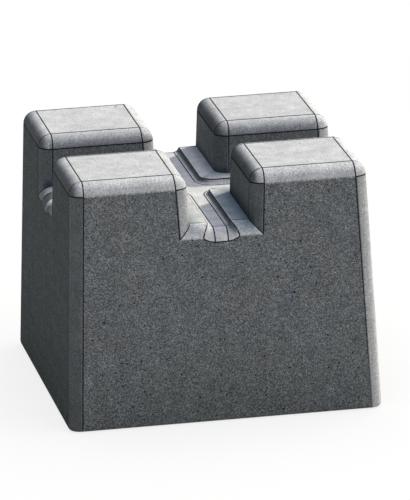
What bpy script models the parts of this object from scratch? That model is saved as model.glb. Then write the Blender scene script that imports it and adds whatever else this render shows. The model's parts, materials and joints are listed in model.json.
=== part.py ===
"""Concrete column base block: a tapered square block with two crossing joist channels.

Units are metres, +Z is up, and the origin is the middle of the underside. The block is cast in one
piece. Two channels with drafted walls cross on its top and leave a post standing at each corner.
Every convex edge above the underside has the same rounding, and the floor of each channel has a
shallow groove with coved sides along its middle, whose mouths flare over the rounded edge.
"""

import math

import bmesh
import bpy

# Outer form
BASE_WIDTH = 0.250
TOP_WIDTH = 0.234
HEIGHT = 0.198
EDGE_RADIUS = 0.010

# Crossing channels
CHANNEL_FLOOR_WIDTH = 0.047
CHANNEL_DEPTH = 0.040
CHANNEL_DRAFT_ANGLE = math.radians(2.8)

# Groove in the channel floors
GROOVE_FLOOR_WIDTH = 0.0104
GROOVE_DEPTH = 0.0039
COVE_RADIUS = 0.004
CROSSING_CORNER_RADIUS = 0.012

# Fineness of the rounded surfaces
EDGE_SEGMENTS = 7
COVE_SEGMENTS = 4
FLARE_SEGMENTS = 7
CORNER_SEGMENTS = 8

# How far a cutter runs past the surface that it leaves through
CUT_OVERSHOOT = 0.006
# How far the flare's last row stands off the face, so that no cut lies exactly in a face
FLARE_STANDOFF = 0.00002

# Faces that meet at less than the first are one flat face, and at more than the second, a sharp edge
FLAT_ANGLE = math.radians(0.5)
SHARP_ANGLE = math.radians(30)
# Points nearer than this are in one place
SAME_PLACE = 0.0001

CONCRETE_COLOUR = (0.115, 0.125, 0.135, 1.0)
CONCRETE_ROUGHNESS = 0.93

SEAT_HEIGHT = HEIGHT - CHANNEL_DEPTH
SIDE_LEAN = (BASE_WIDTH - TOP_WIDTH) / 2 / HEIGHT


def half_width(height):
    """Distance from the axis to a side face at a height above the underside."""
    return BASE_WIDTH / 2 - SIDE_LEAN * height


def clear_scene():
    """Remove every object of the scene."""
    for old in list(bpy.data.objects):
        bpy.data.objects.remove(old, do_unlink=True)


def object_from_mesh(name, mesh):
    """Link a new object that holds the mesh."""
    piece = bpy.data.objects.new(name, mesh)
    bpy.context.scene.collection.objects.link(piece)
    return piece


def prism(name, low_loop, high_loop):
    """Closed object between two loops that run the same way round."""
    shape = bmesh.new()
    low = [shape.verts.new(point) for point in low_loop]
    high = [shape.verts.new(point) for point in high_loop]
    shape.faces.new(low)
    shape.faces.new(high)
    for index in range(len(low)):
        after = (index + 1) % len(low)
        shape.faces.new((low[index], low[after], high[after], high[index]))
    bmesh.ops.recalc_face_normals(shape, faces=shape.faces[:])
    mesh = bpy.data.meshes.new(name)
    shape.to_mesh(mesh)
    shape.free()
    return object_from_mesh(name, mesh)


def square_loop(half, height):
    """Corners of a level square round the axis."""
    return [(-half, -half, height), (half, -half, height), (half, half, height), (-half, half, height)]


def channel_cutter(name, along_x):
    """Drafted bar that cuts one channel right through the block and up past its top."""
    reach = max(BASE_WIDTH, TOP_WIDTH) / 2 + CUT_OVERSHOOT
    top = HEIGHT + CUT_OVERSHOOT
    foot = CHANNEL_FLOOR_WIDTH / 2
    head = foot + (top - SEAT_HEIGHT) * math.tan(CHANNEL_DRAFT_ANGLE)
    section = [(-foot, SEAT_HEIGHT), (foot, SEAT_HEIGHT), (head, top), (-head, top)]
    if along_x:
        ends = [[(end, across, height) for across, height in section] for end in (-reach, reach)]
    else:
        ends = [[(across, end, height) for across, height in section] for end in (-reach, reach)]
    return hide_cutter(prism(name, ends[0], ends[1]))


def hide_cutter(cutter):
    """Mark an object as a cutter: a wire in the viewport and nothing in a render."""
    cutter.hide_render = True
    cutter.display_type = "WIRE"
    return cutter


def cut(piece, cutter):
    """Subtract a cutter from a piece with a Boolean modifier."""
    modifier = piece.modifiers.new("cut " + cutter.name, "BOOLEAN")
    modifier.operation = "DIFFERENCE"
    modifier.solver = "EXACT"
    modifier.object = cutter


def apply_modifiers(piece):
    """Give a piece its evaluated mesh in place of its modifiers."""
    graph = bpy.context.evaluated_depsgraph_get()
    graph.update()
    mesh = bpy.data.meshes.new_from_object(piece.evaluated_get(graph))
    piece.modifiers.clear()
    piece.data = mesh


def round_edges(piece):
    """Round every convex edge, apart from those of the underside."""
    shape = bmesh.new()
    shape.from_mesh(piece.data)
    bmesh.ops.dissolve_limit(
        shape, angle_limit=FLAT_ANGLE, verts=shape.verts[:], edges=shape.edges[:]
    )
    sharp = []
    for edge in shape.edges:
        on_underside = all(vert.co.z < SAME_PLACE for vert in edge.verts)
        if edge.calc_face_angle_signed(0.0) > SHARP_ANGLE and not on_underside:
            sharp.append(edge)
    bmesh.ops.bevel(
        shape,
        geom=sharp,
        affect="EDGES",
        offset_type="OFFSET",
        offset=EDGE_RADIUS,
        segments=EDGE_SEGMENTS,
        profile=0.5,
        clamp_overlap=False,
        miter_outer="SHARP",
        miter_inner="SHARP",
    )
    shape.to_mesh(piece.data)
    shape.free()


def flare_stations():
    """Rows of the groove along one arm, as pairs of distance in from the face and fall below the floor.

    The rounded edge falls away as a quarter circle, and the groove falls with it.
    """
    rows = []
    for step in range(FLARE_SEGMENTS + 1):
        angle = math.pi / 2 * step / FLARE_SEGMENTS
        rows.append((EDGE_RADIUS * (1 - math.sin(angle)), EDGE_RADIUS * (1 - math.cos(angle))))
    rows[-1] = (-FLARE_STANDOFF, EDGE_RADIUS)
    rows.append((-CUT_OVERSHOOT, EDGE_RADIUS))
    return rows


def arm_point(level, fall):
    """Half width and height of the groove's side at a level, where the floor has fallen by that much.

    The levels climb the cove from the flat floor to its upright top. The last one is the open top of
    the cutter, above the channel floor.
    """
    radius = COVE_RADIUS + fall
    centre_height = SEAT_HEIGHT - GROOVE_DEPTH + COVE_RADIUS
    if level > COVE_SEGMENTS:
        return GROOVE_FLOOR_WIDTH / 2 + radius, SEAT_HEIGHT + CUT_OVERSHOOT
    angle = math.pi / 2 * level / COVE_SEGMENTS
    across = GROOVE_FLOOR_WIDTH / 2 + radius * math.sin(angle)
    return across, centre_height - radius * math.cos(angle)


def level_loop(level):
    """Plan loop of the groove cutter at one level.

    The loop runs round the four arms. Each arm goes out along its right side, back along its left
    side, and on round the rounded corner to the next arm.
    """
    stations = flare_stations()
    inner_half, inner_height = arm_point(level, 0.0)
    top_half = GROOVE_FLOOR_WIDTH / 2 + COVE_RADIUS
    corner_centre = top_half + CROSSING_CORNER_RADIUS
    corner_radius = corner_centre - inner_half
    points = []
    for quarter in range(4):
        turn = math.pi / 2 * quarter
        arm = []
        for inset, fall in stations:
            across, height = arm_point(level, fall)
            arm.append((half_width(height) - inset, across, height))
        local = [(out, -across, height) for out, across, height in arm]
        local += [(out, across, height) for out, across, height in reversed(arm)]
        for step in range(CORNER_SEGMENTS + 1):
            angle = math.pi / 2 * step / CORNER_SEGMENTS
            along = corner_centre - corner_radius * math.sin(angle)
            side = corner_centre - corner_radius * math.cos(angle)
            local.append((along, side, inner_height))
        for x, y, z in local:
            points.append((
                x * math.cos(turn) - y * math.sin(turn),
                x * math.sin(turn) + y * math.cos(turn),
                z,
            ))
    return points


def cross_faces(shape, ring):
    """Close one end of the groove cutter: strips across each arm's rows, and the crossing between."""
    rows = len(flare_stations())
    arm_length = 2 * rows + CORNER_SEGMENTS + 1
    middle = []
    for quarter in range(4):
        start = quarter * arm_length
        for row in range(rows - 1):
            right = start + row
            left = start + 2 * rows - 1 - row
            shape.faces.new((ring[right], ring[right + 1], ring[left - 1], ring[left]))
        middle.append(ring[start])
        middle += [ring[index] for index in range(start + 2 * rows - 1, start + arm_length)]
    shape.faces.new(middle)


def groove_cutter():
    """Cross-shaped cutter with coved sides, rounded corners at the crossing and flared ends."""
    shape = bmesh.new()
    rings = []
    for level in range(COVE_SEGMENTS + 2):
        rings.append([shape.verts.new(point) for point in level_loop(level)])
    for low, high in zip(rings, rings[1:]):
        for index in range(len(low)):
            after = (index + 1) % len(low)
            shape.faces.new((low[index], low[after], high[after], high[index]))
    cross_faces(shape, rings[0])
    cross_faces(shape, rings[-1])
    bmesh.ops.recalc_face_normals(shape, faces=shape.faces[:])
    mesh = bpy.data.meshes.new("groove_cutter")
    shape.to_mesh(mesh)
    shape.free()
    return hide_cutter(object_from_mesh("groove_cutter", mesh))


def concrete():
    """Dark grey cast concrete."""
    material = bpy.data.materials.new("cast_concrete")
    material.use_nodes = True
    surface = material.node_tree.nodes["Principled BSDF"]
    surface.inputs["Base Color"].default_value = CONCRETE_COLOUR
    surface.inputs["Roughness"].default_value = CONCRETE_ROUGHNESS
    surface.inputs["Metallic"].default_value = 0.0
    return material


def base_block():
    """The whole block: tapered body, crossing channels, rounded edges and groove."""
    body = prism("base_block", square_loop(half_width(0.0), 0.0), square_loop(half_width(HEIGHT), HEIGHT))
    cut(body, channel_cutter("channel_cutter_x", along_x=True))
    cut(body, channel_cutter("channel_cutter_y", along_x=False))
    apply_modifiers(body)
    round_edges(body)
    cut(body, groove_cutter())
    body.data.materials.clear()
    body.data.materials.append(concrete())
    body.data.shade_smooth()
    body.data.set_sharp_from_angle(angle=SHARP_ANGLE)
    return body


clear_scene()
base_block()
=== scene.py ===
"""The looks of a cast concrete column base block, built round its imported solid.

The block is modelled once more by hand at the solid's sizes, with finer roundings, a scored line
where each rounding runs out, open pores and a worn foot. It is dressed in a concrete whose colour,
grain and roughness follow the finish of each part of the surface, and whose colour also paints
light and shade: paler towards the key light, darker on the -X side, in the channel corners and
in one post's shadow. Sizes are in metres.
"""

from __future__ import annotations

import json
import logging
import math
import random
from collections.abc import Callable, Iterator
from contextlib import contextmanager
from dataclasses import dataclass, field
from enum import IntEnum

import bmesh
import bpy
from mathutils import Matrix, Vector


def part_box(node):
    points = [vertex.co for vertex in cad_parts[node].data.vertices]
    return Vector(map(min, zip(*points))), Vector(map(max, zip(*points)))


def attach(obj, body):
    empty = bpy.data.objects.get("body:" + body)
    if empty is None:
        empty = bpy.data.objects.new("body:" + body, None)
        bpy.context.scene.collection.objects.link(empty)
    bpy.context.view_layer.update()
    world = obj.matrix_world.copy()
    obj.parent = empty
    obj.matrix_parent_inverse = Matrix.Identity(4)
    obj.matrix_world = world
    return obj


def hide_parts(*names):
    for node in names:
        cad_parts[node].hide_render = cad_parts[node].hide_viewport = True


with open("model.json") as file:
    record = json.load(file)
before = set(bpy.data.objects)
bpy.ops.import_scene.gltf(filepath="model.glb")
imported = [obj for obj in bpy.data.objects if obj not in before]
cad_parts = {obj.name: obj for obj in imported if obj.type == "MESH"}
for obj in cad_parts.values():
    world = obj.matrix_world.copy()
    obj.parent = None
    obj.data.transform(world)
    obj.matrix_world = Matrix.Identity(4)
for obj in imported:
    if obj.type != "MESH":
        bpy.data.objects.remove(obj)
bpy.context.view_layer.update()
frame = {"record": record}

log = logging.getLogger("base_block")

Colour = tuple[float, float, float, float]
WHITE: Colour = (1.0, 1.0, 1.0, 1.0)

# Points nearer than this are in one place
SAME_PLACE = 0.00005
# A face looks along a direction if its normal's part along it is above this
LOOKS_ALONG = 0.9
# Faces that meet at less than the first are one flat face, and at more than the second, a sharp edge
FLAT_ANGLE = math.radians(0.5)
SHARP_ANGLE = math.radians(30)

# What the mesh carries: each face's zone, each corner's finish with its painted light and shade, and
# the lines on points and edges
ZONE_LAYER = "zone"
# Paleness of the skin, part of which is painted light
PALE_AND_LIGHT_LAYER = "bleach"
GRAIN_LAYER = "open_grain"
# Painted shade on the -X side, away from the key light, and in the pore hollows
PAINTED_SHADE_LAYER = "lee_side"
LINE_LAYER = "scored_line"
WIDTH_LAYER = "bevel_weight_edge"

# Material slots that tell new faces from old ones while a piece is shaped
PLAIN = 0
FRESH = 1


class Zone(IntEnum):
    """The parts of the block's surface, each with its own finish."""

    UNDERSIDE = 0
    SIDE = 1
    WALL = 2
    TOP = 3
    SEAT = 4
    UPRIGHT_EDGE = 5
    LEVEL_EDGE = 6
    CORNER = 7
    GROOVE_FLOOR = 8
    COVE = 9
    MOUTH_FLOOR = 10
    MOUTH_COVE = 11


@dataclass(frozen=True)
class BlockSizes:
    """Sizes of the block in metres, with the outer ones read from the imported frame."""

    base_width: float
    height: float
    seat_height: float
    top_width: float = 0.234
    edge_radius: float = 0.010
    channel_floor_width: float = 0.047
    channel_draft: float = math.radians(2.8)
    groove_floor_width: float = 0.0104
    groove_depth: float = 0.0039
    cove_radius: float = 0.004
    crossing_corner_radius: float = 0.012
    overshoot: float = 0.006
    standoff: float = 0.00002

    @classmethod
    def from_frame(cls) -> BlockSizes:
        """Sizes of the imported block.

        Returns:
            The sizes, with the base, height and seat height taken from the frame.
        """
        low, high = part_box("base_block")
        seat = next(mount for mount in frame["record"]["mounts"] if mount["name"] == "joist_seat_front")
        return cls(base_width=high[0] - low[0], height=high[2] - low[2], seat_height=seat["pos_m"][2])

    @property
    def lean(self) -> float:
        """How far a side face moves in for each metre of height."""
        return (self.base_width - self.top_width) / 2 / self.height

    @property
    def groove_half(self) -> float:
        """Half the width of the groove's flat floor."""
        return self.groove_floor_width / 2

    @property
    def groove_floor_height(self) -> float:
        """Height of the groove's floor."""
        return self.seat_height - self.groove_depth

    @property
    def cove_centre_height(self) -> float:
        """Height of the axis round which the groove's coved side turns."""
        return self.groove_floor_height + self.cove_radius

    def half_width(self, height: float) -> float:
        """Distance from the axis to a side face.

        Args:
            height: Height above the underside.

        Returns:
            The distance in metres.
        """
        return self.base_width / 2 - self.lean * height

    def wall_distance(self, height: float) -> float:
        """Distance from a channel's middle plane to its wall.

        Args:
            height: Height above the underside.

        Returns:
            The distance in metres, wider at the top because the wall is drafted.
        """
        rise = height - self.seat_height
        return self.channel_floor_width / 2 + rise * math.tan(self.channel_draft)


def smooth_step(value: float, low: float, high: float) -> float:
    """Smooth step from 0 at one value to 1 at another.

    Args:
        value: The value to judge.
        low: Where the step starts.
        high: Where it ends.

    Returns:
        The height of the step.
    """
    share = min(1.0, max(0.0, (value - low) / (high - low)))
    return share * share * (3 - 2 * share)


def quarter_turn(quarter: int) -> Matrix:
    """Turn about the upright axis by a number of quarter turns."""
    return Matrix.Rotation(math.pi / 2 * quarter, 3, "Z")


@dataclass
class Workpiece:
    """A mesh object that is shaped with Blender's own operators."""

    item: bpy.types.Object

    @classmethod
    def from_cube(cls, name: str, low: Vector, high: Vector) -> Workpiece:
        """Add a cube and stretch it between two corners.

        Args:
            name: Name of the new object.
            low: Its lowest corner.
            high: Its highest corner.

        Returns:
            The new piece, with its scale and place in its mesh.
        """
        bpy.ops.object.select_all(action="DESELECT")
        bpy.ops.mesh.primitive_cube_add(size=1.0, location=(low + high) / 2)
        return cls._named(name, high - low)

    @classmethod
    def from_plane(cls, name: str, width: float, height: float) -> Workpiece:
        """Add a level square plane on the axis.

        Args:
            name: Name of the new object.
            width: Its side.
            height: Its height above the ground.

        Returns:
            The new piece.
        """
        bpy.ops.object.select_all(action="DESELECT")
        bpy.ops.mesh.primitive_plane_add(size=width, location=(0.0, 0.0, height))
        return cls._named(name, Vector((1.0, 1.0, 1.0)))

    @classmethod
    def _named(cls, name: str, scale: Vector) -> Workpiece:
        """Name the newest primitive and put its scale and place into its mesh.

        Args:
            name: The name it gets.
            scale: How far it is stretched along each axis.

        Returns:
            The new piece.
        """
        item = bpy.context.object
        item.name = name
        item.data.name = name
        item.scale = scale
        bpy.ops.object.transform_apply(location=True, rotation=True, scale=True)
        item.data.attributes.new(ZONE_LAYER, "INT", "FACE")
        for _ in (PLAIN, FRESH):
            bpy.ops.object.material_slot_add()
        return cls(item)

    def activate(self) -> None:
        """Make this the only selected object and the active one."""
        bpy.ops.object.select_all(action="DESELECT")
        self.item.select_set(True)
        bpy.context.view_layer.objects.active = self.item

    @contextmanager
    def edit_mode(self) -> Iterator[None]:
        """Hold the piece in edit mode with nothing selected.

        Yields:
            Nothing; the piece goes back to object mode afterwards.
        """
        self.activate()
        bpy.ops.object.mode_set(mode="EDIT")
        bpy.ops.mesh.select_all(action="DESELECT")
        try:
            yield
        finally:
            bpy.ops.object.mode_set(mode="OBJECT")

    def shape(self) -> bmesh.types.BMesh:
        """The mesh that is open in edit mode."""
        return bmesh.from_edit_mesh(self.item.data)

    def _pick(self, kind: str, wanted: Callable[..., bool]) -> None:
        """Select the parts of one kind that pass a test, and nothing else.

        Args:
            kind: Blender's name for the kind, which is VERT, EDGE or FACE.
            wanted: True for a part that is to be selected.
        """
        bpy.ops.mesh.select_mode(type=kind)
        bpy.ops.mesh.select_all(action="DESELECT")
        shape = self.shape()
        parts = {"VERT": shape.verts, "EDGE": shape.edges, "FACE": shape.faces}[kind]
        chosen = [part for part in parts if wanted(part)]
        for part in chosen:
            part.select_set(True)
        bmesh.update_edit_mesh(self.item.data)

    def pick_faces(self, wanted: Callable[[bmesh.types.BMFace], bool]) -> None:
        """Select the faces that pass a test, and nothing else."""
        self._pick("FACE", wanted)

    def pick_edges(self, wanted: Callable[[bmesh.types.BMEdge], bool]) -> None:
        """Select the edges that pass a test, and nothing else."""
        self._pick("EDGE", wanted)

    def pick_verts(self, wanted: Callable[[bmesh.types.BMVert], bool]) -> None:
        """Select the vertices that pass a test, and nothing else."""
        self._pick("VERT", wanted)

    def name_zones(
        self, zone_of: Callable[[bmesh.types.BMFace], Zone], only_selected: bool = False
    ) -> None:
        """Write the zone of each face.

        Args:
            zone_of: Gives a face's zone.
            only_selected: True to leave the faces that aren't selected as they are.
        """
        shape = self.shape()
        layer = shape.faces.layers.int[ZONE_LAYER]
        for face in shape.faces:
            if face.select or not only_selected:
                face[layer] = int(zone_of(face))
        bmesh.update_edit_mesh(self.item.data)

    def round_selected(self, radius: float, segments: int) -> None:
        """Bevel the selected edges to a rounding, and select its faces and no others.

        Args:
            radius: Distance from each edge to where its rounding runs out.
            segments: Facets across the rounding.
        """
        bpy.ops.mesh.bevel(
            offset_type="OFFSET",
            offset=radius,
            segments=segments,
            profile=0.5,
            affect="EDGES",
            clamp_overlap=False,
            miter_outer="SHARP",
            miter_inner="SHARP",
            material=FRESH,
        )
        self.pick_faces(lambda face: face.material_index == FRESH)
        for face in self.shape().faces:
            face.material_index = PLAIN

    def cut(self, cutter: Workpiece) -> None:
        """Subtract another piece, which is used up.

        Args:
            cutter: The closed piece to take away.
        """
        self.activate()
        modifier = self.item.modifiers.new("cut", "BOOLEAN")
        modifier.operation = "DIFFERENCE"
        modifier.solver = "EXACT"
        modifier.object = cutter.item
        bpy.ops.object.modifier_apply(modifier=modifier.name)
        bpy.data.objects.remove(cutter.item, do_unlink=True)


@dataclass
class GrooveCutter:
    """The cross-shaped tool that cuts the shallow groove along both channel floors."""

    sizes: BlockSizes
    corner_segments: int = 10
    cove_segments: int = 5
    mouth_segments: int = 10
    rise: float = 0.004
    piece: Workpiece = field(init=False)

    def build(self) -> Workpiece:
        """Model the tool.

        Returns:
            The closed tool, with the zone of each of its faces named.
        """
        self._cross()
        self._round_crossing()
        self._cove_bottom()
        for quarter in range(4):
            self._flare_arm(quarter)
        return self.piece

    @property
    def _half(self) -> float:
        """Half the width of an arm."""
        return self.sizes.groove_half + self.sizes.cove_radius

    @property
    def _mouth_start(self) -> float:
        """Distance from the axis at which an arm's mouth begins."""
        return self.sizes.half_width(self.sizes.seat_height) - self.sizes.edge_radius

    @staticmethod
    def _arm_axes(quarter: int) -> tuple[Vector, Vector]:
        """Directions out along an arm and across it, for an arm counted in quarter turns from +X."""
        turn = quarter_turn(quarter)
        return turn @ Vector((1.0, 0.0, 0.0)), turn @ Vector((0.0, 1.0, 0.0))

    def _cross(self) -> None:
        """Extrude a plane into a cross, and the cross into a solid."""
        s = self.sizes
        half = self._half
        reach = self._mouth_start - half
        self.piece = Workpiece.from_plane("groove_tool", 2 * half, s.groove_floor_height)
        with self.piece.edit_mode():
            for quarter in range(4):
                out, side = self._arm_axes(quarter)
                self.piece.pick_edges(
                    lambda edge: all(
                        abs(vert.co.dot(out) - half) < SAME_PLACE
                        and abs(vert.co.dot(side)) < half + SAME_PLACE
                        for vert in edge.verts
                    )
                )
                self._draw_out(out, reach)
            bpy.ops.mesh.select_all(action="SELECT")
            self._draw_out(Vector((0.0, 0.0, 1.0)), s.groove_depth + self.rise)
            bpy.ops.mesh.select_all(action="SELECT")
            bpy.ops.mesh.normals_make_consistent(inside=False)
            bpy.ops.mesh.dissolve_limited(angle_limit=FLAT_ANGLE)

    def _round_crossing(self) -> None:
        """Round the four upright corners where the arms meet."""
        half = self._half
        with self.piece.edit_mode():
            self.piece.pick_edges(
                lambda edge: all(
                    abs(abs(vert.co[axis]) - half) < SAME_PLACE
                    for vert in edge.verts
                    for axis in (0, 1)
                )
            )
            self.piece.round_selected(self.sizes.crossing_corner_radius, self.corner_segments)

    def _cove_bottom(self) -> None:
        """Round the tool's lower edges, which leaves a coved side on the groove."""
        s = self.sizes
        with self.piece.edit_mode():
            self.piece.name_zones(
                lambda face: Zone.GROOVE_FLOOR if face.normal.z < -LOOKS_ALONG else Zone.COVE
            )
            self.piece.pick_edges(
                lambda edge: not self._is_at_arm_end(edge)
                and all(abs(vert.co.z - s.groove_floor_height) < SAME_PLACE for vert in edge.verts)
            )
            self.piece.round_selected(s.cove_radius, self.cove_segments)
            self.piece.name_zones(lambda face: Zone.COVE, only_selected=True)

    def _is_at_arm_end(self, edge: bmesh.types.BMEdge) -> bool:
        """Tell whether an edge lies in the end face of an arm.

        Args:
            edge: The edge.

        Returns:
            True if it does.
        """
        end = self._mouth_start
        return any(
            all(abs(abs(vert.co[axis]) - end) < SAME_PLACE for vert in edge.verts) for axis in (0, 1)
        )

    def _flare_arm(self, quarter: int) -> None:
        """Draw one arm's end outwards in steps that widen and deepen with the block's rounded edge.

        Args:
            quarter: Which arm, counted in quarter turns from +X.
        """
        s = self.sizes
        out, side = self._arm_axes(quarter)
        start = self._mouth_start
        with self.piece.edit_mode():
            self.piece.pick_faces(
                lambda face: face.normal.dot(out) > LOOKS_ALONG
                and face.calc_center_median().dot(out) > start - SAME_PLACE
            )
            distance = start
            radius = s.cove_radius
            for step in range(1, self.mouth_segments + 1):
                angle = math.pi / 2 * step / self.mouth_segments
                inset = s.edge_radius * (1 - math.sin(angle))
                fall = s.edge_radius * (1 - math.cos(angle))
                if step == self.mouth_segments:
                    inset = -s.standoff
                further = start + s.edge_radius - inset
                self._draw_out(out, further - distance)
                self._swell(out, side, further, (s.cove_radius + fall) / radius)
                distance = further
                radius = s.cove_radius + fall
            self._draw_out(out, s.overshoot)
            self._lean_mouth(out, start)
            self.piece.name_zones(lambda face: self._mouth_zone(face, out, side, start))

    def _draw_out(self, out: Vector, length: float) -> None:
        """Extrude what is selected by a length in one direction."""
        bpy.ops.mesh.extrude_region_move(TRANSFORM_OT_translate={"value": out * length})

    def _swell(self, out: Vector, side: Vector, distance: float, factor: float) -> None:
        """Swell both coved sides of the selected end face about their own axes.

        Args:
            out: Direction of the arm.
            side: Direction across it.
            distance: How far out the end face lies.
            factor: New cove radius over the old one.
        """
        s = self.sizes
        across = Vector(tuple(1 + (factor - 1) * abs(part) for part in side))
        ring = {vert.index for vert in self.piece.shape().verts if vert.select}
        for sign in (-1.0, 1.0):
            axis = out * distance + side * (sign * s.groove_half)
            axis.z = s.cove_centre_height
            for below, value in ((math.inf, across), (axis.z, (1.0, 1.0, factor))):
                self.piece.pick_verts(
                    lambda vert: vert.index in ring
                    and sign * vert.co.dot(side) > s.groove_half - SAME_PLACE
                    and vert.co.z < below
                )
                bpy.ops.transform.resize(value=value, center_override=axis)
        self.piece.pick_faces(lambda face: all(vert.index in ring for vert in face.verts))

    def _lean_mouth(self, out: Vector, start: float) -> None:
        """Lean the mouth's rows so that they lie along the leaning side face.

        Args:
            out: Direction of the arm.
            start: Distance from the axis at which the mouth begins.
        """
        s = self.sizes
        shape = self.piece.shape()
        for vert in shape.verts:
            if vert.co.dot(out) > start - SAME_PLACE:
                vert.co += out * s.lean * (s.seat_height - vert.co.z)
        bmesh.update_edit_mesh(self.piece.item.data)

    def _mouth_zone(self, face: bmesh.types.BMFace, out: Vector, side: Vector, start: float) -> Zone:
        """Zone of a face of the tool once an arm has its mouth.

        Args:
            face: The face.
            out: Direction of the arm.
            side: Direction across it.
            start: Distance from the axis at which the mouth begins.

        Returns:
            The mouth's own zone beyond its start, and the face's old zone before it.
        """
        centre = face.calc_center_median()
        layer = self.piece.shape().faces.layers.int[ZONE_LAYER]
        if centre.dot(out) < start + SAME_PLACE:
            return Zone(face[layer])
        if abs(centre.dot(side)) < self.sizes.groove_half:
            return Zone.MOUTH_FLOOR
        return Zone.MOUTH_COVE


@dataclass
class PoreField:
    """Small air holes left open in the cast faces."""

    sizes: BlockSizes
    seed: int = 11
    per_side: int = 46
    per_top: int = 3
    smallest: float = 0.0005
    largest: float = 0.0012
    rarity: float = 2.5
    spacing: float = 0.0048
    margin: float = 0.004
    sunk: float = 0.33
    pores: list[tuple[Vector, float]] = field(default_factory=list)

    def scatter(self) -> None:
        """Choose the place and size of every pore, well clear of edges and of each other."""
        s = self.sizes
        draw = random.Random(self.seed)
        for quarter in range(4):
            turn = quarter_turn(quarter)
            for _ in range(self.per_side):
                height = draw.uniform(self.margin, s.seat_height - s.edge_radius - 2 * self.margin)
                limit = s.half_width(height) - s.edge_radius - self.margin
                across = draw.uniform(-limit, limit)
                place = turn @ Vector((s.half_width(height), across, height))
                self._add(place, turn @ Vector((-1.0, 0.0, 0.0)), draw)
        inner = s.wall_distance(s.height) + s.edge_radius + self.margin
        outer = s.top_width / 2 - s.edge_radius - self.margin
        for sign_x in (-1, 1):
            for sign_y in (-1, 1):
                for _ in range(self.per_top):
                    x = sign_x * draw.uniform(inner, outer)
                    y = sign_y * draw.uniform(inner, outer)
                    self._add(Vector((x, y, s.height)), Vector((0.0, 0.0, -1.0)), draw)

    def _add(self, place: Vector, inwards: Vector, draw: random.Random) -> None:
        """Keep a pore if no other is near.

        Args:
            place: Where it opens on the surface.
            inwards: Direction into the block there.
            draw: The seeded source of chance.
        """
        radius = self.smallest + (self.largest - self.smallest) * draw.random() ** self.rarity
        if all((place - other).length > self.spacing for other, _ in self.pores):
            self.pores.append((place + inwards * (self.sunk * radius), radius))

    def build(self) -> Workpiece:
        """Model the pores as one tool of many small balls.

        Returns:
            The tool.
        """
        self.scatter()
        bpy.ops.object.select_all(action="DESELECT")
        bpy.ops.mesh.primitive_ico_sphere_add(subdivisions=2, radius=1.0)
        ball = bpy.context.object
        # Painted shade: the pore hollows get the full darkening of the -X side
        painted_shade_share = ball.data.attributes.new(PAINTED_SHADE_LAYER, "FLOAT", "CORNER")
        for corner in painted_shade_share.data:
            corner.value = 1.0
        balls = []
        for place, radius in self.pores:
            copy = bpy.data.objects.new("pore_tool", ball.data.copy())
            copy.data.transform(Matrix.Translation(place) @ Matrix.Diagonal((radius,) * 3 + (1.0,)))
            bpy.context.scene.collection.objects.link(copy)
            balls.append(copy)
        bpy.data.objects.remove(ball, do_unlink=True)
        for copy in balls:
            copy.select_set(True)
        bpy.context.view_layer.objects.active = balls[0]
        bpy.ops.object.join()
        return Workpiece(bpy.context.object)


@dataclass(frozen=True)
class Signal:
    """A number carried by a shader socket, which can be written in plain arithmetic."""

    graph: ShaderGraph
    socket: bpy.types.NodeSocket

    def _math(self, operation: str, first: Value, second: Value = 0.0, clamp: bool = False) -> Signal:
        """Add a Math node.

        Args:
            operation: Blender's name for the sum.
            first: Its first value.
            second: Its second value, where it has one.
            clamp: True to hold the result between 0 and 1.

        Returns:
            The result as a signal.
        """
        node = self.graph.node(
            "ShaderNodeMath", {"operation": operation, "use_clamp": clamp}, {0: first, 1: second}
        )
        return Signal(self.graph, node.outputs[0])

    def __add__(self, other: Value) -> Signal:
        """Sum of this and a value."""
        return self._math("ADD", self, other)

    def __radd__(self, other: Value) -> Signal:
        """Sum of a value and this."""
        return self._math("ADD", other, self)

    def __sub__(self, other: Value) -> Signal:
        """This less a value."""
        return self._math("SUBTRACT", self, other)

    def __rsub__(self, other: Value) -> Signal:
        """A value less this."""
        return self._math("SUBTRACT", other, self)

    def __mul__(self, other: Value) -> Signal:
        """Product of this and a value."""
        return self._math("MULTIPLY", self, other)

    def __rmul__(self, other: Value) -> Signal:
        """Product of a value and this."""
        return self._math("MULTIPLY", other, self)

    def __pow__(self, other: Value) -> Signal:
        """This to a power."""
        return self._math("POWER", self, other)

    def __rpow__(self, other: Value) -> Signal:
        """A value to the power of this."""
        return self._math("POWER", other, self)

    def size(self) -> Signal:
        """This without its sign."""
        return self._math("ABSOLUTE", self)

    def smaller(self, other: Value) -> Signal:
        """The smaller of this and a value."""
        return self._math("MINIMUM", self, other)

    def step_between(self, low: float, high: float) -> Signal:
        """Smooth step from 0 at one value to 1 at another.

        Args:
            low: Where the step starts.
            high: Where it ends, which may be lower than its start.

        Returns:
            The step as a signal.
        """
        node = self.graph.node(
            "ShaderNodeMapRange",
            {"interpolation_type": "SMOOTHSTEP"},
            {"Value": self, "From Min": low, "From Max": high, "To Min": 0.0, "To Max": 1.0},
        )
        return Signal(self.graph, node.outputs[0])

    def clamped(self) -> Signal:
        """This held between 0 and 1."""
        return self._math("ADD", self, 0.0, clamp=True)


Value = float | Signal


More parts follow.
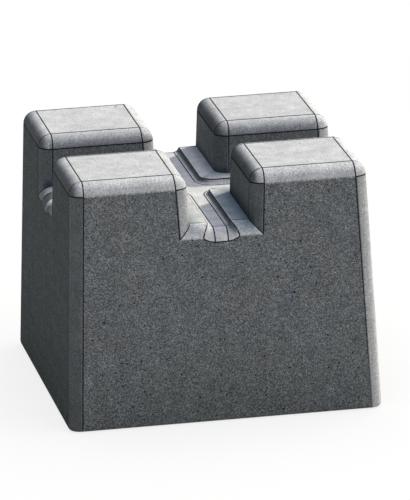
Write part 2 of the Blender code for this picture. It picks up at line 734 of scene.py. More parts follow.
class ShaderGraph:
    """The node tree of one material or world, with short calls for adding nodes."""

    def __init__(self, tree: bpy.types.NodeTree) -> None:
        """Empty a tree and take it over.

        Args:
            tree: The node tree to fill.
        """
        self.tree = tree
        self.tree.nodes.clear()

    def node(
        self,
        kind: str,
        settings: dict[str, object] | None = None,
        inputs: dict[str | int, object] | None = None,
    ) -> bpy.types.Node:
        """Add a node.

        Args:
            kind: Blender's name for the type of node.
            settings: The node's own settings, which are made first.
            inputs: Values or links of its sockets, by name or number.

        Returns:
            The new node.
        """
        made = self.tree.nodes.new(kind)
        for name, value in (settings or {}).items():
            setattr(made, name, value)
        for name, value in (inputs or {}).items():
            socket = made.inputs[name]
            if isinstance(value, Signal):
                self.tree.links.new(value.socket, socket)
            elif isinstance(value, bpy.types.NodeSocket):
                self.tree.links.new(value, socket)
            else:
                socket.default_value = value
        return made

    def attribute(self, name: str) -> Signal:
        """A number stored on the mesh.

        Args:
            name: Name of the mesh attribute.

        Returns:
            The number as a signal.
        """
        made = self.node("ShaderNodeAttribute", {"attribute_type": "GEOMETRY", "attribute_name": name})
        return Signal(self, made.outputs["Fac"])

    def noise(
        self, place: bpy.types.NodeSocket, size: float, detail: float, rough: float = 0.5
    ) -> Signal:
        """Cloudy noise.

        Args:
            place: The coordinates it is read at.
            size: Rough size of one cloud, in metres.
            detail: How many finer layers it has.
            rough: How strong the finer layers are.

        Returns:
            The noise, from about 0.2 to 0.8.
        """
        made = self.node(
            "ShaderNodeTexNoise",
            {"noise_dimensions": "3D"},
            {"Vector": place, "Scale": 1 / size, "Detail": detail, "Roughness": rough},
        )
        return Signal(self, made.outputs["Fac"])

    def cells(self, place: bpy.types.NodeSocket, size: float) -> tuple[Signal, Signal]:
        """Scattered cells.

        Args:
            place: The coordinates they are read at.
            size: Rough size of one cell, in metres.

        Returns:
            The distance to the nearest cell's point in cell sizes, and a chance number of that cell.
        """
        made = self.node(
            "ShaderNodeTexVoronoi",
            {"voronoi_dimensions": "3D", "feature": "F1"},
            {"Vector": place, "Scale": 1 / size, "Randomness": 1.0},
        )
        parts = self.node("ShaderNodeSeparateColor", {}, {"Color": made.outputs["Color"]})
        return Signal(self, made.outputs["Distance"]), Signal(self, parts.outputs[0])

    def parts(self, place: bpy.types.NodeSocket) -> tuple[Signal, Signal, Signal]:
        """The three parts of a vector."""
        outputs = self.node("ShaderNodeSeparateXYZ", {}, {0: place}).outputs
        return Signal(self, outputs[0]), Signal(self, outputs[1]), Signal(self, outputs[2])

    def mapped(
        self,
        place: bpy.types.NodeSocket,
        shift: tuple[float, float, float] = (0.0, 0.0, 0.0),
        scale: tuple[float, float, float] = (1.0, 1.0, 1.0),
    ) -> bpy.types.NodeSocket:
        """Shift and stretch the coordinates of a pattern.

        Args:
            place: The coordinates.
            shift: What is added to them.
            scale: What they are multiplied by.

        Returns:
            The socket of the new coordinates.
        """
        inputs = {"Vector": place, "Location": shift, "Scale": scale}
        return self.node("ShaderNodeMapping", {}, inputs).outputs[0]

    def mix(
        self,
        share: Value,
        first: bpy.types.NodeSocket | Colour,
        second: bpy.types.NodeSocket | Colour,
        blend: str = "MIX",
    ) -> bpy.types.NodeSocket:
        """Mix two colours.

        Args:
            share: How much of the second shows.
            first: The colour at 0.
            second: The colour at 1.
            blend: Blender's name for the way they mix.

        Returns:
            The socket of the mixed colour.
        """
        settings = {"data_type": "RGBA", "blend_type": blend, "clamp_result": False}
        return self.node("ShaderNodeMix", settings, {0: share, 6: first, 7: second}).outputs[2]

    def tinted(
        self, share: Value, base: bpy.types.NodeSocket, tint: bpy.types.NodeSocket | Colour
    ) -> bpy.types.NodeSocket:
        """A colour multiplied by a tint, as far as a share says."""
        return self.mix(share, base, tint, "MULTIPLY")


@dataclass(frozen=True)
class Skin:
    """What the concrete reads from the block: a place and the finish, painted light and painted shade
    written there, in one graph.
    """

    graph: ShaderGraph
    place: bpy.types.NodeSocket
    # Paleness, part of which is painted light
    bleach: Signal
    open_grain: Signal
    # Painted shade on the -X side and in the pore hollows
    painted_shade: Signal
    line: Signal


@dataclass(frozen=True)
class CastConcrete:
    """Cast concrete: dark open-grained faces, and pale, close-grained edges, tops and floors, with
    painted light and shade.
    """

    name: str = "cast_concrete"
    dark: Colour = (0.136, 0.143, 0.140, 1.0)
    # Pale skin of tops, floors and edges, which also carries their painted light
    pale: Colour = (0.607, 0.598, 0.555, 1.0)
    warm_cloud: Colour = (0.150, 0.149, 0.132, 1.0)
    cool_cloud: Colour = (0.118, 0.130, 0.143, 1.0)
    speck: Colour = (0.420, 0.430, 0.430, 1.0)
    line_ink: Colour = (0.018, 0.020, 0.024, 1.0)
    # Painted shade inside pinholes too small to model
    pinhole_shade_ink: Colour = (0.012, 0.013, 0.015, 1.0)
    # Painted shade on the -X side and in the pore hollows
    painted_shade_tint: Colour = (0.410, 0.440, 0.440, 1.0)
    foot_tint: Colour = (0.850, 0.860, 0.820, 1.0)
    # Painted shade at the foot of the channel walls
    corner_shade_tint: Colour = (0.520, 0.580, 0.640, 1.0)
    # Painted shadow of the post at +X -Y on its shelf
    painted_shadow_tint: Colour = (0.470, 0.560, 0.610, 1.0)

    # Sizes of the patterns
    grain_size: float = 0.00064
    fine_grain_size: float = 0.00044
    pit_cell: float = 0.0039
    speck_cell: float = 0.0060
    mottle_size: float = 0.012
    cloud_size: float = 0.055
    cool_cloud_share: float = 0.6
    cool_cloud_shift: tuple[float, float, float] = (3.1, 1.7, 0.4)
    streak_size: float = 0.010
    streak_squeeze: tuple[float, float, float] = (1.0, 1.0, 0.12)

    # Radii of pits and specks in cells: the smallest, and what chance adds to it
    pit_radius: tuple[float, float] = (0.07, 0.15)
    speck_radius: tuple[float, float] = (0.03, 0.09)
    soft_rim: float = 0.04

    # How strongly the grain, the mottle and the streaks darken and lighten
    tone_range: float = 4.0
    close_contrast: float = 0.20
    open_contrast: float = 1.15
    mottle_contrast: float = 0.42
    streak_contrast: float = 0.20

    # Gloss and relief
    roughness: float = 0.92
    smoother_skin: float = 0.08
    rougher_grain: float = 0.10
    specular: float = 0.08
    bump_strength: float = 0.40
    bump_depth: float = 0.0003

    # Where the darker foot starts, and how far its border wanders
    foot_height: float = 0.085
    foot_wander: float = 0.030

    # Painted shade in the corners of the channels, from where it starts to where it is full
    corner_shade_above: tuple[float, float] = (0.166, 0.158)
    corner_shade_below: tuple[float, float] = (0.150, 0.156)
    corner_shade_inside: tuple[float, float] = (0.012, 0.0245)
    corner_shade_outside: tuple[float, float] = (0.0275, 0.0255)

    # Painted shadow on the shelf beside the post at +X -Y, from where it starts to where it is full
    shadow_left: tuple[float, float] = (0.0085, 0.0115)
    shadow_right: tuple[float, float] = (0.034, 0.028)
    shadow_back: tuple[float, float] = (-0.020, -0.036)
    shadow_front: tuple[float, float] = (-0.134, -0.104)
    shadow_above: tuple[float, float] = (0.176, 0.160)
    shadow_below: tuple[float, float] = (0.147, 0.152)
    shadow_wander: float = 0.010

    def make(self) -> bpy.types.Material:
        """Build the material.

        Returns:
            The finished material.
        """
        material = bpy.data.materials.new(self.name)
        material.use_nodes = True
        graph = ShaderGraph(material.node_tree)
        place = graph.node("ShaderNodeTexCoord").outputs["Object"]
        layers = (PALE_AND_LIGHT_LAYER, GRAIN_LAYER, PAINTED_SHADE_LAYER, LINE_LAYER)
        skin = Skin(graph, place, *(graph.attribute(name) for name in layers))
        grain = self._grain(skin)
        pits = self._pits(skin)
        rough = self.roughness - self.smoother_skin * (1 - skin.open_grain)
        rough = (rough + self.rougher_grain * (grain - 0.5)).clamped()
        height = grain * (0.25 + 0.75 * skin.open_grain) - 1.4 * pits
        relief = {"Strength": self.bump_strength, "Distance": self.bump_depth, "Height": height}
        bump = graph.node("ShaderNodeBump", {}, relief)
        surface = graph.node(
            "ShaderNodeBsdfPrincipled",
            {},
            {
                "Base Color": self._colour(skin, grain, pits),
                "Roughness": rough,
                "Normal": bump.outputs[0],
                "Specular IOR Level": self.specular,
            },
        )
        graph.node("ShaderNodeOutputMaterial", {}, {"Surface": surface.outputs[0]})
        return material

    def _grain(self, skin: Skin) -> Signal:
        """Salt-and-pepper grain of sand and cement, about 0.5 on average.

        Args:
            skin: What the concrete reads from the block.

        Returns:
            The grain as a signal.
        """
        _, coarse = skin.graph.cells(skin.place, self.grain_size)
        _, fine = skin.graph.cells(skin.place, self.fine_grain_size)
        cloud = skin.graph.noise(skin.place, 2.0 * self.grain_size, 3.0, 0.7)
        return 0.75 * coarse + 0.40 * fine + 0.20 * cloud - 0.175

    def _pits(self, skin: Skin) -> Signal:
        """Pinholes too small to model, mostly where the grain is open.

        Args:
            skin: What the concrete reads from the block.

        Returns:
            1 in a pinhole and 0 elsewhere.
        """
        reach, chance = skin.graph.cells(skin.place, self.pit_cell)
        smallest, more = self.pit_radius
        inside = (smallest + more * chance ** 2.0 - reach).step_between(0.0, self.soft_rim)
        return inside * (0.15 + 0.85 * skin.open_grain)

    def _colour(self, skin: Skin, grain: Signal, pits: Signal) -> bpy.types.NodeSocket:
        """Colour of the surface.

        Args:
            skin: What the concrete reads from the block.
            grain: The salt-and-pepper grain.
            pits: 1 in a pinhole.

        Returns:
            The socket of the colour.
        """
        graph = skin.graph
        # Painted shade: the -X side and the pore hollows are darkened
        dark = graph.tinted(skin.painted_shade, self._clouds(skin), self.painted_shade_tint)
        # Pale where the mesh says, which partly paints the light on tops and edges
        base = self._painted_shade_and_foot(skin, graph.mix(skin.bleach, dark, self.pale))
        base = graph.tinted(1.0, base, self._tone(skin, grain))
        reach, chance = graph.cells(skin.place, self.speck_cell)
        smallest, more = self.speck_radius
        specks = (smallest + more * chance ** 4.0 - reach).step_between(0.0, self.soft_rim)
        base = graph.mix(0.75 * specks * skin.open_grain, base, self.speck)
        # Painted shade inside the pinholes
        base = graph.mix(0.95 * pits, base, self.pinhole_shade_ink)
        return graph.mix(skin.line.step_between(0.03, 0.32), base, self.line_ink)

    def _clouds(self, skin: Skin) -> bpy.types.NodeSocket:
        """Dark concrete with faint warm and cool clouds.

        Args:
            skin: What the concrete reads from the block.

        Returns:
            The socket of the colour.
        """
        graph = skin.graph
        warm = graph.noise(skin.place, self.cloud_size, 3.0).step_between(0.52, 0.72)
        shifted = graph.mapped(skin.place, shift=self.cool_cloud_shift)
        cool = graph.noise(shifted, self.cool_cloud_share * self.cloud_size, 3.0)
        warmed = graph.mix(0.5 * warm, self.dark, self.warm_cloud)
        return graph.mix(0.5 * cool.step_between(0.50, 0.72), warmed, self.cool_cloud)

    def _tone(self, skin: Skin, grain: Signal) -> bpy.types.NodeSocket:
        """Light and dark of the grain, of its mottle and of upright streaks.

        Args:
            skin: What the concrete reads from the block.
            grain: The salt-and-pepper grain.

        Returns:
            The socket of a grey that the colour is multiplied by.
        """
        graph = skin.graph
        streak = graph.noise(graph.mapped(skin.place, scale=self.streak_squeeze), self.streak_size, 3.0)
        mottle = graph.noise(skin.place, self.mottle_size, 4.0, 0.6)
        contrast = self.close_contrast + self.open_contrast * skin.open_grain
        depth = contrast * (grain - 0.5)
        depth = depth + self.mottle_contrast * (mottle - 0.5) + self.streak_contrast * (streak - 0.5)
        shade = self.tone_range ** depth
        return graph.node("ShaderNodeCombineColor", {}, {0: shade, 1: shade, 2: shade}).outputs[0]

    def _painted_shade_and_foot(self, skin: Skin, base: bpy.types.NodeSocket) -> bpy.types.NodeSocket:
        """Painted shade along the foot of the channel walls, the painted shadow of the post at +X -Y on
        its shelf, and the darker foot of the faces.

        Args:
            skin: What the concrete reads from the block.
            base: The colour without the grime.

        Returns:
            The socket of the colour with it.
        """
        graph = skin.graph
        x, y, z = graph.parts(skin.place)
        # Painted shade: bluish darkening along the foot of the channel walls
        off = x.size().smaller(y.size())
        corner = off.step_between(*self.corner_shade_inside) * off.step_between(*self.corner_shade_outside)
        corner = corner * z.step_between(*self.corner_shade_above) * z.step_between(*self.corner_shade_below)
        base = graph.tinted(corner, base, self.corner_shade_tint)
        # Painted shadow: the shelf beside the post at +X -Y is darkened and tinted blue as if in that
        # post's shadow
        wander = self.shadow_wander * (graph.noise(skin.place, 0.020, 3.0) - 0.5)
        across = (x + 0.3 * wander).step_between(*self.shadow_left) * x.step_between(*self.shadow_right)
        along = (y + wander).step_between(*self.shadow_back) * (y + wander).step_between(*self.shadow_front)
        level = z.step_between(*self.shadow_above) * z.step_between(*self.shadow_below)
        base = graph.tinted(across * along * level, base, self.painted_shadow_tint)
        border = z + self.foot_wander * (graph.noise(skin.place, 0.035, 3.0) - 0.5)
        foot = border.step_between(self.foot_height, 0.0) * (1 - skin.bleach).clamped()
        return graph.tinted(foot, base, self.foot_tint)


@dataclass(frozen=True)
class LineGauge:
    """Half widths of the scored lines by where they run, their depth, and the ink at a worn foot."""

    level_across: float = 0.00110
    level_along: float = 0.00066
    upright: float = 0.00066
    lee_upright: float = 0.00180
    lee_level: float = 0.00105
    brink: float = 0.00105
    groove: float = 0.00060
    other: float = 0.00062
    feathered: float = 0.00100
    depth: float = 0.00010
    foot_ink: float = 0.10

    @property
    def widest(self) -> float:
        """The widest of them, which the others are shares of."""
        return max(self.level_across, self.lee_upright, self.feathered)


@dataclass(frozen=True)
class PaleAndPaintedShade:
    """How pale a zone is, and how that fades to painted shade as the surface turns to -X, away from the
    key light.
    """

    pale: float
    fading: float
    start: float
    end: float

    def towards(self, normal: Vector) -> float:
        """Paleness of a surface that looks along a direction."""
        return self.pale * (1.0 - self.fading * smooth_step(-normal.x, self.start, self.end))


@dataclass(frozen=True)
class FinishAndPaintedLight:
    """How open-grained and how pale each zone is, with painted light towards +X and painted shade
    towards -X.
    """

    sizes: BlockSizes
    open_grain: dict[Zone, float] = field(
        default_factory=lambda: {
            Zone.UNDERSIDE: 0.80,
            Zone.SIDE: 1.0,
            Zone.WALL: 0.60,
            Zone.TOP: 0.16,
            Zone.SEAT: 0.12,
            Zone.UPRIGHT_EDGE: 0.34,
            Zone.LEVEL_EDGE: 0.34,
            Zone.CORNER: 0.34,
            Zone.GROOVE_FLOOR: 0.12,
            Zone.COVE: 0.20,
            Zone.MOUTH_FLOOR: 0.15,
            Zone.MOUTH_COVE: 0.15,
        }
    )
    # Paleness of the low zones, and how it fades to painted shade towards -X
    low_pale_and_shade: dict[Zone, PaleAndPaintedShade] = field(
        default_factory=lambda: {
            Zone.SEAT: PaleAndPaintedShade(0.80, 0.80, 0.35, 1.0),
            Zone.GROOVE_FLOOR: PaleAndPaintedShade(0.83, 0.80, 0.35, 1.0),
            Zone.COVE: PaleAndPaintedShade(0.90, 0.95, 0.05, 0.80),
            Zone.MOUTH_FLOOR: PaleAndPaintedShade(1.0, 0.80, 0.35, 1.0),
            Zone.MOUTH_COVE: PaleAndPaintedShade(1.0, 0.92, -0.05, 0.50),
        }
    )
    low_edge_pale_and_shade: PaleAndPaintedShade = PaleAndPaintedShade(0.95, 0.80, 0.35, 1.0)

    def painted_shade_share(self, zone: Zone, normal: Vector) -> float:
        """How much painted shade darkens a zone as it turns to -X, away from the key light.

        Args:
            zone: The zone.
            normal: The surface's direction there.

        Returns:
            0 for no painted shade and 1 for the darkest painted shade on the -X side.
        """
        if zone == Zone.UPRIGHT_EDGE:
            return 0.60 * smooth_step(-normal.x, 0.02, 0.12)
        share = 0.35 if zone == Zone.WALL else 1.0
        return share * smooth_step(-normal.x, 0.10, 0.95)

    def paleness(self, zone: Zone, normal: Vector, place: Vector) -> float:
        """How pale a zone's skin is.

        The tops, the floors and the edges are pale and the faces dark. Part of this paleness is painted
        light:
        roundings are paler as they turn to +X, towards the key light, and across the middle of outward
        roundings, a painted highlight. They are darker as they turn to -X and where they face into the
        channels, which is painted shade.

        Args:
            zone: The zone.
            normal: The surface's direction there.
            place: Where it is on the block.

        Returns:
            0 for the dark skin and 1 for the palest one.
        """
        if zone in (Zone.SIDE, Zone.WALL, Zone.UNDERSIDE):
            return 0.0
        # Upright edges: painted light as they turn to +X, painted shade as they turn to -X, and paler
        # lower down
        if zone == Zone.UPRIGHT_EDGE:
            paleness_toward_light = 0.36 + 0.50 * normal.x + 0.14 * (1.0 - place.z / self.sizes.height)
            return 0.02 + paleness_toward_light * smooth_step(normal.x, 0.02, 0.10)
        # Low in the channels: each zone's own paleness, fading to painted shade as the surface turns to
        # -X
        if place.z < self.sizes.seat_height + SAME_PLACE:
            return self.low_pale_and_shade.get(zone, self.low_edge_pale_and_shade).towards(normal)
        # Painted light: roundings are paler as they turn to +X, towards the key light
        pale = 0.68 + 0.30 * max(0.0, normal.x)
        # Painted shade on roundings that face into the channels, and a painted highlight across outward
        # roundings
        if normal.x * place.x + normal.y * place.y < 0:
            pale *= 0.30 + 0.70 * smooth_step(normal.z, 0.0, 0.8)
        else:
            pale += 0.40 * normal.z * math.hypot(normal.x, normal.y)
        # Painted shade as the rounding turns to -X
        return PaleAndPaintedShade(pale, 0.94, 0.05, 0.85).towards(normal)


@dataclass
class BaseBlock:
    """The cast block, from a plain cube to its finished and dressed surface."""

    sizes: BlockSizes
    edge_segments: int = 10
    foot_radius: float = 0.0030
    foot_segments: int = 3
    gauge: LineGauge = field(default_factory=LineGauge)
    smooth_below: float = math.radians(14)
    piece: Workpiece = field(init=False)
    feathered: dict[int, frozenset[Zone]] = field(default_factory=dict)

    def build(self) -> bpy.types.Object:
        """Model the block.

        Returns:
            The finished mesh object, before its material.
        """
        self._taper_body()
        self._cut_channels()
        self._round_edges()
        self.piece.cut(GrooveCutter(self.sizes).build())
        log.info("groove cut: %d faces", len(self.piece.item.data.polygons))
        self._soften_foot()
        self._score_lines()
        log.info("lines scored: %d faces", len(self.piece.item.data.polygons))
        self._shade()
        self._write_finish()
        self.piece.cut(PoreField(self.sizes).build())
        log.info("pores opened: %d faces", len(self.piece.item.data.polygons))
        self._shade()
        self._settle_normals()
        return self.piece.item

    def _taper_body(self) -> None:
        """Stretch a cube to the block's base and height, and draw its top in."""
        s = self.sizes
        half = s.base_width / 2
        self.piece = Workpiece.from_cube(
            "concrete_block", Vector((-half, -half, 0.0)), Vector((half, half, s.height))
        )
        share = s.top_width / s.base_width
        with self.piece.edit_mode():
            self.piece.pick_faces(lambda face: face.normal.z > LOOKS_ALONG)
            bpy.ops.transform.resize(value=(share, share, 1.0), center_override=(0.0, 0.0, s.height))

    def _cut_channels(self) -> None:
        """Cut the two crossing channels, whose walls lean out as they rise."""
        s = self.sizes
        reach = s.base_width / 2 + s.overshoot
        top = s.height + s.overshoot
        half = s.channel_floor_width / 2
        share = s.wall_distance(top) / half
        for along in (0, 1):
            far = Vector((half, half, top))
            far[along] = reach
            near = Vector((-far.x, -far.y, s.seat_height))
            tool = Workpiece.from_cube("channel_tool", near, far)
            spread = Vector((share, share, 1.0))
            spread[along] = 1.0
            with tool.edit_mode():
                tool.pick_faces(lambda face: face.normal.z > LOOKS_ALONG)
                bpy.ops.transform.resize(value=spread, center_override=(0.0, 0.0, top))
            self.piece.cut(tool)

    def _round_edges(self) -> None:
        """Round every sharp outward edge above the underside."""
        with self.piece.edit_mode():
            bpy.ops.mesh.select_all(action="SELECT")
            bpy.ops.mesh.dissolve_limited(angle_limit=FLAT_ANGLE)
            self.piece.name_zones(self._flat_zone)
            self.piece.pick_edges(
                lambda edge: edge.calc_face_angle_signed(0.0) > SHARP_ANGLE
                and any(vert.co.z > SAME_PLACE for vert in edge.verts)
            )
            self.piece.round_selected(self.sizes.edge_radius, self.edge_segments)
            self.piece.name_zones(self._rounded_zone, only_selected=True)

    def _flat_zone(self, face: bmesh.types.BMFace) -> Zone:
        """Zone of a flat face of the block before its edges are rounded.

        Args:
            face: The face.

        Returns:
            Its zone.
        """
        s = self.sizes
        centre = face.calc_center_median()
        if face.normal.z < -LOOKS_ALONG:
            return Zone.UNDERSIDE
        if face.normal.z > LOOKS_ALONG:
            return Zone.TOP if centre.z > s.height - s.edge_radius else Zone.SEAT
        outwards = face.normal.x * centre.x + face.normal.y * centre.y
        return Zone.SIDE if outwards > s.top_width / 2 - s.edge_radius else Zone.WALL

    def _rounded_zone(self, face: bmesh.types.BMFace) -> Zone:
        """Zone of a face that the rounding made.

        Args:
            face: The face.

        Returns:
            Upright edge, level edge or the corner where three roundings meet.
        """
        s = self.sizes
        centre = face.calc_center_median()
        reach = s.edge_radius - SAME_PLACE
        wall = s.wall_distance(centre.z)
        rim = s.half_width(centre.z)
        offsets = (abs(centre.x), abs(centre.y))
        if centre.z > s.height - reach:
            near_ends = all(offset > rim - reach or offset < wall + reach for offset in offsets)
            return Zone.CORNER if near_ends else Zone.LEVEL_EDGE
        across = min(offsets)
        if centre.z > s.seat_height or across > s.top_width / 4:
            return Zone.UPRIGHT_EDGE
        return Zone.UPRIGHT_EDGE if across - wall > s.seat_height - centre.z else Zone.LEVEL_EDGE

    def _soften_foot(self) -> None:
        """Wear the sharp edge round the underside to a small rounding."""
        with self.piece.edit_mode():
            self.piece.pick_edges(
                lambda edge: all(abs(vert.co.z) < SAME_PLACE for vert in edge.verts)
                and edge.calc_face_angle_signed(0.0) > SHARP_ANGLE
            )
            self.piece.round_selected(self.foot_radius, self.foot_segments)

    def _score_lines(self) -> None:
        """Score a fine line where one zone of the surface runs out into the next."""
        with self.piece.edit_mode():
            shape = self.piece.shape()
            share = shape.edges.layers.float.new(WIDTH_LAYER)
            zone = shape.faces.layers.int[ZONE_LAYER]
            for edge in shape.edges:
                zones = frozenset(Zone(face[zone]) for face in edge.link_faces)
                edge[share] = self._line_half_width(edge, zones) / self.gauge.widest
            bmesh.update_edit_mesh(self.piece.item.data)
        modifier = self.piece.item.modifiers.new("lines", "BEVEL")
        modifier.limit_method = "WEIGHT"
        modifier.offset_type = "OFFSET"
        modifier.width = self.gauge.widest
        modifier.segments = 2
        modifier.use_clamp_overlap = False
        modifier.material = FRESH
        bpy.ops.object.modifier_apply(modifier=modifier.name)
        self._sink_lines()

    def _line_half_width(self, edge: bmesh.types.BMEdge, zones: frozenset[Zone]) -> float:
        """Half width of the line along an edge.

        Args:
            edge: The edge.
            zones: The zones on its two sides.

        Returns:
            The half width in metres, or 0 where there is no line.
        """
        gauge = self.gauge
        inner_foot = Zone.SEAT in zones and zones & {Zone.WALL, Zone.UPRIGHT_EDGE}
        if len(zones) < 2 or Zone.UNDERSIDE in zones or inner_foot:
            return 0.0
        facing = sum((face.normal for face in edge.link_faces), Vector()).normalized()
        if self._is_feathered(zones, facing):
            return gauge.feathered
        run = edge.verts[0].co - edge.verts[1].co
        if Zone.TOP in zones:
            return gauge.level_across if abs(run.x) > abs(run.y) else gauge.level_along
        if zones & {Zone.COVE, Zone.GROOVE_FLOOR}:
            return gauge.brink if Zone.SEAT in zones and abs(run.x) > abs(run.y) else gauge.groove
        upright = abs(run.z) > 0.7 * run.length
        highest = max(vert.co.z for vert in edge.verts)
        if facing.x < -LOOKS_ALONG and highest > self.sizes.seat_height + SAME_PLACE:
            return gauge.lee_upright if upright else gauge.lee_level
        return gauge.upright if upright else gauge.other

    @staticmethod
    def _is_feathered(zones: frozenset[Zone], facing: Vector) -> bool:
        """True under the level roundings of the -Y and +Y faces, which run out with no line."""
        meet = zones in (frozenset((Zone.SIDE, Zone.LEVEL_EDGE)), frozenset((Zone.SIDE, Zone.CORNER)))
        return meet and abs(facing.x) < 0.7

    def _sink_lines(self) -> None:
        """Find the middles of the lines, mark them and sink them."""
        mesh = self.piece.item.data
        zones = mesh.attributes[ZONE_LAYER].data
        around: dict[int, set[Zone]] = {}
        outside: set[int] = set()
        for polygon in mesh.polygons:
            for index in polygon.vertices:
                if polygon.material_index == FRESH:
                    around.setdefault(index, set()).add(Zone(zones[polygon.index].value))
                else:
                    outside.add(index)
        middles = {index: frozenset(found) for index, found in around.items() if index not in outside}
        self.feathered = {
            index: found
            for index, found in middles.items()
            if self._is_feathered(found, mesh.vertices[index].normal)
        }
        inked = middles.keys() - self.feathered.keys()
        marks = mesh.attributes.new(LINE_LAYER, "FLOAT", "POINT")
        for index in inked:
            place = mesh.vertices[index].co
            worn_off = place.x > 0 and place.z < 2 * self.foot_radius
            marks.data[index].value = self.gauge.foot_ink if worn_off else 1.0
        log.info("line points: %d inked, %d feathered", len(inked), len(self.feathered))
        with self.piece.edit_mode():
            self.piece.pick_verts(lambda vert: vert.index in inked)
            bpy.ops.transform.shrink_fatten(value=-self.gauge.depth)

    def _shade(self) -> None:
        """Shade the roundings smooth and keep the lines and arrises crisp."""
        self.piece.activate()
        bpy.ops.object.shade_smooth_by_angle(angle=self.smooth_below, keep_sharp_edges=False)

    def _settle_normals(self) -> None:
        """Let the flat faces set the shading along their edges."""
        self.piece.activate()
        modifier = self.piece.item.modifiers.new("settle", "WEIGHTED_NORMAL")
        modifier.mode = "FACE_AREA"
        modifier.weight = 80
        modifier.keep_sharp = True
        bpy.ops.object.modifier_apply(modifier=modifier.name)

    def _write_finish(self) -> None:
        """Write how pale, with its painted light, how open-grained and how deep in painted shade each
        corner of each face is.
        """
        mesh = self.piece.item.data
        zones = [Zone(item.value) for item in mesh.attributes[ZONE_LAYER].data]
        for name in (PALE_AND_LIGHT_LAYER, GRAIN_LAYER, PAINTED_SHADE_LAYER):
            mesh.attributes.new(name, "FLOAT", "CORNER")
        bleach = mesh.attributes[PALE_AND_LIGHT_LAYER].data
        grain = mesh.attributes[GRAIN_LAYER].data
        painted_shade = mesh.attributes[PAINTED_SHADE_LAYER].data
        normals = [Vector(item.vector) for item in mesh.corner_normals]
        finish_and_light = FinishAndPaintedLight(self.sizes)
        for polygon in mesh.polygons:
            zone = zones[polygon.index]
            for corner in polygon.loop_indices:
                index = mesh.loops[corner].vertex_index
                place = mesh.vertices[index].co
                normal = normals[corner]
                mixed = self.feathered.get(index, (zone,))
                pale = sum(finish_and_light.paleness(one, normal, place) for one in mixed)
                bleach[corner].value = pale / len(mixed)
                grain[corner].value = sum(finish_and_light.open_grain[one] for one in mixed) / len(mixed)
                painted_shade[corner].value = finish_and_light.painted_shade_share(zone, normal)
        mesh.attributes.remove(mesh.attributes[ZONE_LAYER])
        mesh.attributes.remove(mesh.attributes[WIDTH_LAYER])


@dataclass(frozen=True)
class Lamp:
    """A far light that falls on one object."""

    name: str
    direction: tuple[float, float, float]
    strength: float
    spread: float
    colour: tuple[float, float, float]

    def hang(self, lit: bpy.types.Object) -> None:
        """Hang the light, so that it falls on one object and no other.

        Args:
            lit: The object it falls on.
        """
        data = bpy.data.lights.new(self.name, "SUN")
        data.energy = self.strength
        data.angle = self.spread
        data.color = self.colour
        lamp = bpy.data.objects.new(self.name, data)
        lamp.rotation_euler = Vector(self.direction).to_track_quat("Z", "Y").to_euler()
        bpy.context.scene.collection.objects.link(lamp)
        group = bpy.data.collections.new(self.name + "_falls_on")
        group.objects.link(lit)
        lamp.light_linking.receiver_collection = group


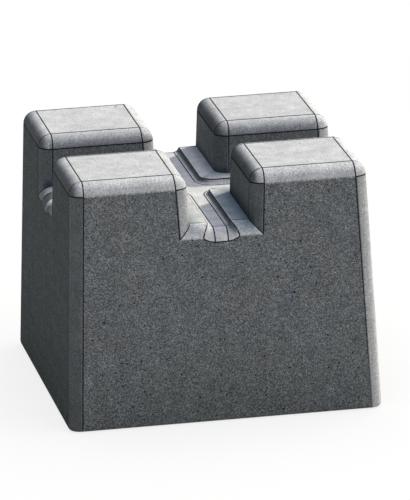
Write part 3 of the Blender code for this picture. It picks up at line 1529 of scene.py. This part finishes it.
@dataclass(frozen=True)
class Studio:
    """Pale floor, soft light and the camera."""

    camera_place: tuple[float, float, float] = (-0.84741, -4.61665, 1.50234)
    camera_yaw: float = 0.183333
    camera_pitch: float = 0.289734
    camera_roll: float = -0.025952
    camera_lens: float = 443.05
    camera_sensor: float = 36.0
    camera_reach: float = 60.0
    floor_reach: float = 12.0
    floor_height: float = -0.0002
    floor_colour: Colour = (0.90, 0.90, 0.90, 1.0)
    floor_whiteness: float = 0.75
    sky_colour: Colour = (0.915, 0.980, 1.230, 1.0)
    sky_level: float = 0.10
    sky_zenith: float = 1.28
    sky_tilt: float = 0.45
    key: Lamp = Lamp(
        "key_light", (0.582, 0.412, 0.701), 3.14, math.radians(4.0), (1.060, 1.020, 0.890)
    )
    wash: Lamp = Lamp(
        "wash_light", (0.35, 0.20, 0.90), 1.50, math.radians(100.0), (1.10, 0.98, 0.52)
    )

    def build(self, block: bpy.types.Object) -> None:
        """Set up the floor, the lights and the camera.

        Args:
            block: The object that the key light is for.
        """
        floor = self._floor()
        self.key.hang(block)
        self.wash.hang(floor)
        self._sky()
        self._camera()
        bpy.context.scene.view_settings.view_transform = "Standard"

    def _floor(self) -> bpy.types.Object:
        """Lay the pale floor under the block.

        Returns:
            The floor.
        """
        bpy.ops.object.select_all(action="DESELECT")
        middle = (0.0, 0.0, self.floor_height)
        bpy.ops.mesh.primitive_plane_add(size=2 * self.floor_reach, location=middle)
        floor = bpy.context.object
        floor.name = "studio_floor"
        bpy.ops.object.transform_apply(location=True, rotation=True, scale=True)
        material = bpy.data.materials.new("studio_paper")
        material.use_nodes = True
        graph = ShaderGraph(material.node_tree)
        matt = {"Base Color": self.floor_colour, "Roughness": 1.0, "Specular IOR Level": 0.0}
        surface = graph.node("ShaderNodeBsdfPrincipled", {}, matt)
        paper = graph.node("ShaderNodeEmission", {}, {"Color": WHITE, "Strength": 1.0})
        seen = Signal(graph, graph.node("ShaderNodeLightPath").outputs["Is Camera Ray"])
        shaders = {0: self.floor_whiteness * seen, 1: surface.outputs[0], 2: paper.outputs[0]}
        both = graph.node("ShaderNodeMixShader", {}, shaders)
        graph.node("ShaderNodeOutputMaterial", {}, {"Surface": both.outputs[0]})
        floor.data.materials.append(material)
        return floor

    def _sky(self) -> None:
        """Fill from above, with a white backdrop where the camera sees past the floor."""
        world = bpy.data.worlds.new("studio")
        bpy.context.scene.world = world
        world.use_nodes = True
        graph = ShaderGraph(world.node_tree)
        right, _, above = graph.parts(graph.node("ShaderNodeTexCoord").outputs["Generated"])
        level = (self.sky_level + self.sky_zenith * above * above) * (1 + self.sky_tilt * right)
        fill = graph.node("ShaderNodeBackground", {}, {"Color": self.sky_colour, "Strength": level})
        backdrop = graph.node("ShaderNodeBackground", {}, {"Color": WHITE, "Strength": 1.0})
        seen = graph.node("ShaderNodeLightPath").outputs["Is Camera Ray"]
        shaders = {0: seen, 1: fill.outputs[0], 2: backdrop.outputs[0]}
        both = graph.node("ShaderNodeMixShader", {}, shaders)
        graph.node("ShaderNodeOutputWorld", {}, {"Surface": both.outputs[0]})

    def _camera(self) -> None:
        """Place the camera where the photograph was taken from."""
        data = bpy.data.cameras.new("camera")
        data.lens = self.camera_lens
        data.sensor_width = self.camera_sensor
        data.clip_end = self.camera_reach
        camera = bpy.data.objects.new("camera", data)
        level_part = math.cos(self.camera_pitch)
        ahead = Vector((
            math.sin(self.camera_yaw) * level_part,
            math.cos(self.camera_yaw) * level_part,
            -math.sin(self.camera_pitch),
        ))
        level = ahead.cross(Vector((0.0, 0.0, 1.0))).normalized()
        above = level.cross(ahead)
        right = math.cos(self.camera_roll) * level + math.sin(self.camera_roll) * above
        up = right.cross(ahead)
        turn = Matrix((right, up, -ahead)).transposed()
        camera.matrix_world = Matrix.Translation(self.camera_place) @ turn.to_4x4()
        bpy.context.scene.collection.objects.link(camera)
        bpy.context.scene.camera = camera


def main() -> None:
    """Build the studio and the block, and report each piece."""
    logging.basicConfig(level=logging.INFO, format="%(name)s: %(message)s")
    block = BaseBlock(BlockSizes.from_frame()).build()
    Studio().build(block)
    block.data.materials.clear()
    block.data.materials.append(CastConcrete().make())
    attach(block, "root")
    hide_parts("base_block")
    log.info("%s: %d faces", block.name, len(block.data.polygons))


if __name__ == "__main__":
    main()
